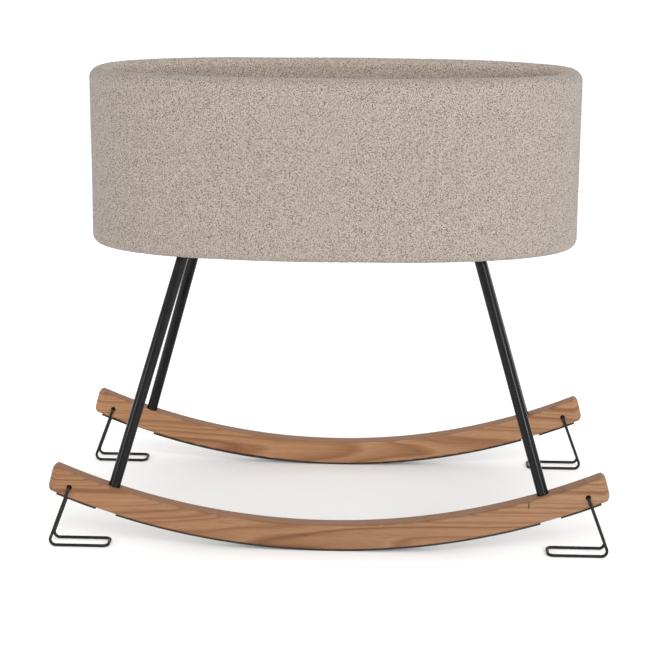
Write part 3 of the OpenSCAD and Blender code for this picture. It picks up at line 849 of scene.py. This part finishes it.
def floor_painted_shadow_material():
    """Pale studio floor with a painted shadow: darker in the middle under the basket and whiter
    away from it, where it also glows as painted light.
    """
    made, tree, shader = new_material("floor", {
        "Roughness": 0.8, "Specular IOR Level": 0.1,
        "Emission Color": (0.97, 1.0, 1.03, 1)})
    where = position(tree, (1, 1.7, 1), (0, -0.03, 0))
    cloud = noise(tree, where, 0.8, 3, 0.5)
    away = add(tree, "VectorMath", {0: where}, operation="LENGTH").outputs["Value"]
    # painted shadow: the floor is darker in the middle, under the basket
    base = ramp(tree, away, (0.28, (0.750, 0.742, 0.738)), (0.66, (0.930, 0.928, 0.926)))
    # painted light: the floor glows, more so away from the middle
    glow = ramp(tree, away, (0.28, 0.08), (0.66, 0.22), (1.0, 0.33))
    tree.links.new(glow, shader.inputs["Emission Strength"])
    base = mixed(tree, "MULTIPLY", 0.10, base, ramp(tree, cloud, (0.3, 0.94), (0.7, 1.0)))
    tree.links.new(base, shader.inputs["Base Color"])
    return made


def paint(piece, made):
    piece.data.materials.clear()
    piece.data.materials.append(made)


# ---- Pieces ----


def finish_piece(piece, body, made, slot, *nodes):
    """Gives a new piece its material and its body, and hides the CAD nodes that it stands for."""
    paint(piece, made)
    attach(piece, body)
    if nodes:
        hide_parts(*nodes)


def fastener_places():
    """The middle of each plate bolt, in x and y, from the plates' boxes."""
    places = []
    for corner in CORNERS:
        low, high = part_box(f"leg_plate_{corner}")
        middle = (low + high) / 2
        outward = math.copysign(1, middle.y)
        places += [(middle.x + dx, middle.y + outward * dy) for dx in BOLT_X for dy in BOLT_Y]
    return places


def make_soft_pieces():
    """Everything of fabric and foam, in place of its CAD solids."""
    # painted light: the cover's inward side is tinted lighter than its outside
    boucle = boucle_material(
        "boucle", tint=(0.775, 0.755, 0.755), inward_painted_light=(1.07, 1.03, 1.02), gap_shade_contrast=1.22)
    # painted light: the lining is the same boucle painted much lighter all over, standing in for
    # light falling inside the basket
    pale = (1.38, 1.35, 1.34)
    lining = boucle_material("boucle_inside_painted_lighter", tint=pale, inward_painted_light=pale, gap_shade_contrast=0.7)
    foam = foam_material()
    lining_cloth = cotton_material(
        "lining_cotton", pale=(0.70, 0.66, 0.60), dark=(0.50, 0.46, 0.41), threads=420)
    sheet_cloth = cotton_material(
        "mattress_cotton", pale=(0.68, 0.66, 0.625), dark=(0.62, 0.60, 0.565), threads=380)

    finish_piece(make_cover(), BODY, boucle, "boucle", "outer_cover")
    finish_piece(make_lining(), BODY, lining, "boucle", "inner_lining")
    for node, piece in make_padding().items():
        finish_piece(piece, BODY, foam, "wall_foam", node)

    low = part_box("floor_lining")[0].z + 0.0001
    cloth, flat, area = make_board_cloth(
        "floor_cloth", "floor_lining", low, thickness=0.0005, raised=BOLT_BUMP)
    finish_piece(cloth, BODY, lining_cloth, "lining_cloth", "floor_lining")
    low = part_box("dust_cover")[0].z + 0.0006
    cloth, flat, area = make_board_cloth(
        "dust_cloth", "dust_cover", low, thickness=0.0007, raised=0)
    area -= cut_plate_holes(cloth)
    finish_piece(cloth, BODY, lining_cloth, "lining_cloth", "dust_cover")

    cover, core, piping = make_mattress()
    finish_piece(cover, MATTRESS_BODY, sheet_cloth, "mattress_sheet", "mattress_cover")
    finish_piece(core, MATTRESS_BODY, foam, "mattress_foam", "mattress_core")
    for piece in piping:
        finish_piece(piece, MATTRESS_BODY, sheet_cloth, "mattress_sheet")


def paint_frame():
    """Materials of the rigid CAD nodes, by the start of their names."""
    black = powder_coat("black_tube", roughness=0.16, dark=(0.0030, 0.0030, 0.0040),
                        pale=(0.0055, 0.0054, 0.0064))
    wire = powder_coat("black_wire", roughness=0.32, dark=(0.0085, 0.0068, 0.0062),
                       pale=(0.0140, 0.0115, 0.0105))
    zinc = zinc_material()
    ply = plywood_material()
    grip = grip_material()
    # painted light and shade: each rocker's end tints differ with how light falls on it, and the
    # rear rocker is tinted lighter than the front one
    ash_front = ash_material(
        "ash_front", pith_y=-0.188, pith_z=0.026, slope=0.05, seed=3.1,
        tint_and_painted_light=((0.70, 0.655, 0.60), (0.69, 0.70, 0.71)),
        flecks=[((0.3295, -0.234, 0.0865), (0.0016, 0.006, 0.0075), 0.95),
                ((-0.036, -0.234, 0.027), (0.0045, 0.006, 0.0024), 0.40)])
    ash_rear = ash_material(
        "ash_rear", pith_y=0.262, pith_z=0.036, slope=-0.04, seed=8.4,
        tint_and_painted_light=((0.91, 0.87, 0.81), (0.82, 0.81, 0.80)))
    looks = {
        "rocker_front": ash_front, "rocker_rear": ash_rear, "grip_strip": grip,
        "leg_tube": black, "leg_plate": black, "wire_foot": wire,
        "wall_panel": ply, "base_board": ply,
        "splice_": zinc, "base_screws": zinc, "plate_bolts": zinc, "tee_nuts": zinc,
        "threaded_plugs": zinc, "rocker_bolts": zinc, "rocker_washers": zinc,
    }
    for name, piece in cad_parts.items():
        found = [made for start, made in looks.items() if name.startswith(start)]
        if found:
            paint(piece, found[0])


# ---- Stage ----


def make_stage():
    """A pale floor with a painted shadow under the basket, and a white surround that is brightest
    at the horizon.
    """
    half, gap = 30.0, 0.0002
    corners = np.array([(-half, -half, 0), (half, -half, 0), (half, half, 0), (-half, half, 0)])
    floor = quad_mesh("floor", corners, np.array([[0, 1, 2, 3]]))
    floor.location.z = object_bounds()[0].z - gap
    paint(floor, floor_painted_shadow_material())
    world = bpy.data.worlds.new("surround")
    world.use_nodes = True
    tree = world.node_tree
    background = tree.nodes["Background"]
    background.inputs["Color"].default_value = (1.0, 0.995, 0.985, 1)
    toward = add(tree, "SeparateXYZ", {"Vector": add(tree, "TexCoord").outputs["Generated"]})
    glow = ramp(tree, toward.outputs[2], (0.0, 1.03), (0.5, 0.85), (1.0, 0.66))
    tree.links.new(glow, background.inputs["Strength"])
    bpy.context.scene.world = world
    bpy.context.scene.view_settings.view_transform = "Standard"


def add_area_light(name, place, target, size, watts, colour):
    """An oval light at a place, turned to a target."""
    light = bpy.data.lights.new(name, "AREA")
    light.shape = "ELLIPSE"
    light.size, light.size_y = size
    light.energy, light.color = watts, colour
    made = bpy.data.objects.new(name, light)
    away = Vector(place) - Vector(target)
    turned = away.to_track_quat("Z", "Y").to_matrix().to_4x4()
    made.matrix_world = Matrix.Translation(place) @ turned
    bpy.context.scene.collection.objects.link(made)


def add_lights():
    middle = (0, 0, 0.5)
    add_area_light("key", (2.3, -2.3, 1.9), middle, (1.4, 1.4), 30, (0.96, 0.99, 1.0))
    add_area_light("front", (0.0, -2.9, 2.5), middle, (1.5, 1.5), 32, (1.0, 0.99, 0.98))
    add_area_light("back", (0.6, 2.8, 2.4), middle, (2.0, 2.0), 6, (1.0, 1.0, 1.0))
    add_area_light("back_left", (-2.6, 1.3, 1.2), middle, (1.0, 1.0), 6, (0.92, 0.97, 1.0))
    low = (0, 0, 0.3)
    add_area_light("low_right", (1.65, -2.55, 0.80), low, (1.1, 0.6), 16, (0.98, 0.99, 1.0))
    add_area_light("low_left", (-2.35, -2.1, 0.82), low, (1.0, 0.6), 10, (1.0, 0.92, 0.84))


def add_camera():
    """A long lens from the front, a little above the basket and to its right."""
    camera = bpy.data.cameras.new("camera")
    camera.lens, camera.sensor_width = 93.47, 36.0
    camera.shift_y = -0.1
    camera.dof.use_dof = False
    made = bpy.data.objects.new("camera", camera)
    place = (0.1021, -2.8500, 1.0445)
    yaw, pitch, roll = (math.radians(a) for a in (2.397, 11.91, 0.34))
    made.matrix_world = (
        Matrix.Translation(place)
        @ Matrix.Rotation(yaw, 4, "Z")
        @ Matrix.Rotation(math.pi / 2 - pitch, 4, "X")
        @ Matrix.Rotation(roll, 4, "Z")
    )
    bpy.context.scene.collection.objects.link(made)
    bpy.context.scene.camera = made


add_camera()
make_soft_pieces()
paint_frame()
make_stage()
add_lights()
